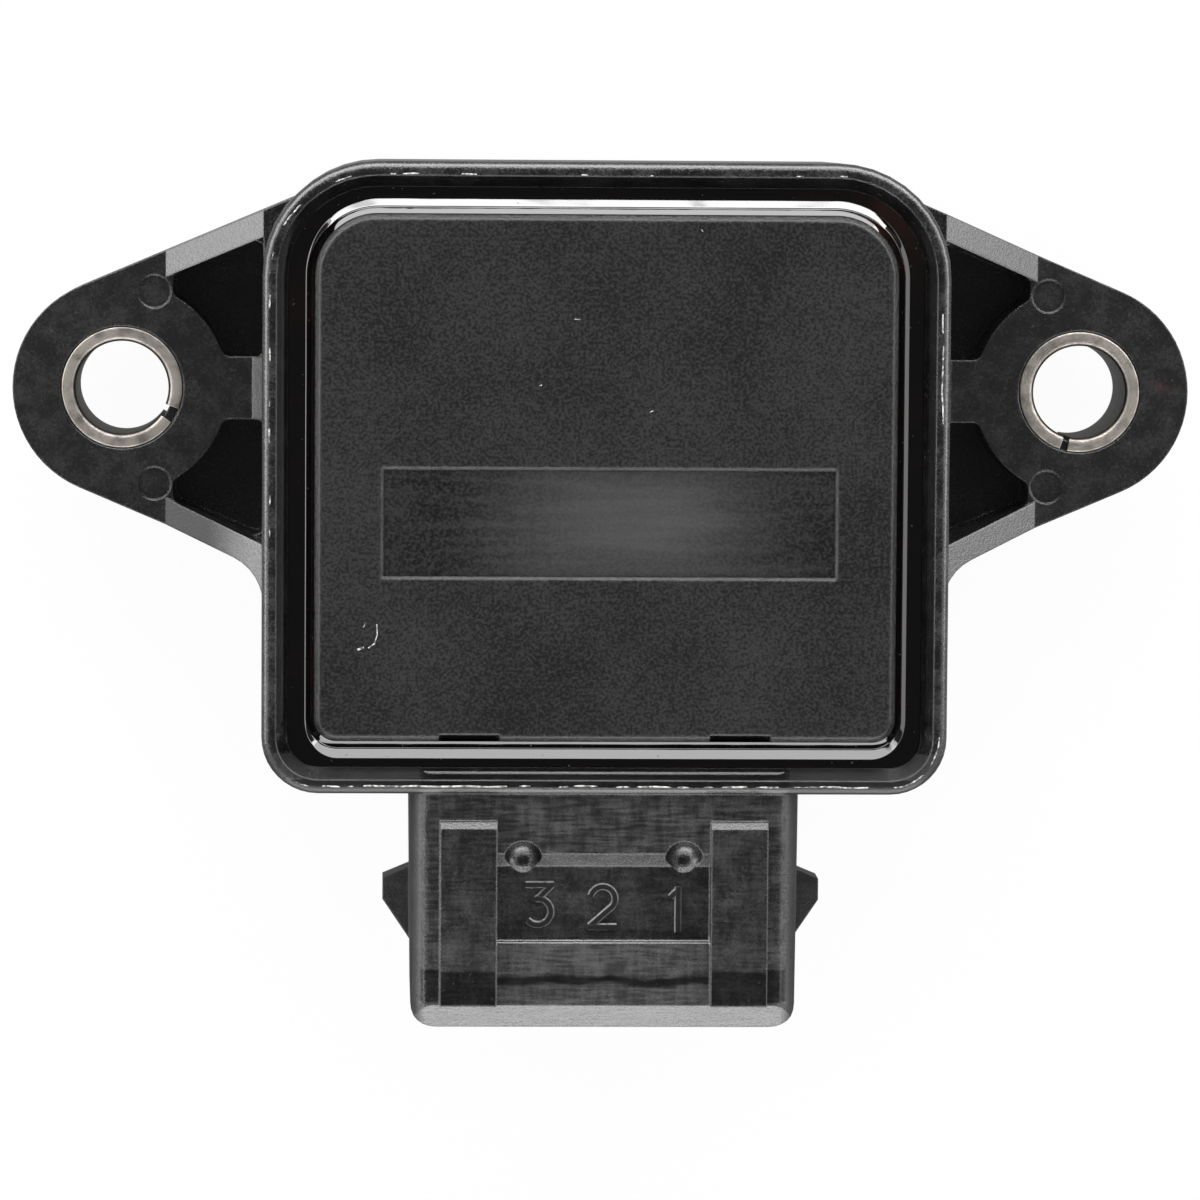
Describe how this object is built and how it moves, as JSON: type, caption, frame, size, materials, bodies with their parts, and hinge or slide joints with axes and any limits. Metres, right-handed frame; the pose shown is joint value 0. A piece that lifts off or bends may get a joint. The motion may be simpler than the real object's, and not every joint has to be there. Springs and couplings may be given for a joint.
{
  "type": "throttle position sensor",
  "caption": "Rotary throttle position sensor: moulded housing with two fixing ears, potted cover, pin connector and a rotor with a D-shaped shaft socket.",
  "frame": {"origin": "on the shaft axis, in the plane of the mounting face, midway between the two fixing holes", "axes": "+X towards the right ear, +Y away from the connector, +Z along the shaft axis towards the cover"},
  "size_m": [0.0676, 0.049, 0.0175],
  "materials": {
    "housing_plastic": "satin",
    "cover_plastic": "fine grain",
    "potting_resin": "glossy",
    "bushing_steel": "rolled",
    "tinned_brass": "tin plated",
    "spring_bronze": "bright",
    "board_ceramic": "matt",
    "carbon_film": "satin",
    "silver_film": "matt",
    "rotor_plastic": "satin",
    "spring_steel": "bright",
    "seal_rubber": "matt",
    "o_ring_rubber": "matt"
  },
  "bodies": {
    "sensor": {"housing": "housing_plastic", "cover_plate": "cover_plastic", "potting_bead": "potting_resin", "left_bushing": "bushing_steel", "right_bushing": "bushing_steel", "terminal_1": "tinned_brass", "terminal_2": "tinned_brass", "terminal_3": "tinned_brass", "contact_strip_1": "spring_bronze", "contact_strip_2": "spring_bronze", "contact_strip_3": "spring_bronze", "track_board": "board_ceramic", "resistor_track": "carbon_film", "collector_track": "silver_film", "end_leads": "silver_film", "lip_seal": "seal_rubber", "mounting_o_ring": "o_ring_rubber", "wave_washer": "spring_steel"},
    "rotor": {"rotor": "rotor_plastic", "wiper_comb": "spring_bronze", "shaft_clip": "spring_steel"}
  },
  "joints": [
    {"name": "rotor_turn", "type": "hinge", "parent": "sensor", "child": "rotor", "pos_m": [0, 0, 0], "axis": [0, 0, 1], "range_deg": [0, 95]}
  ]
}
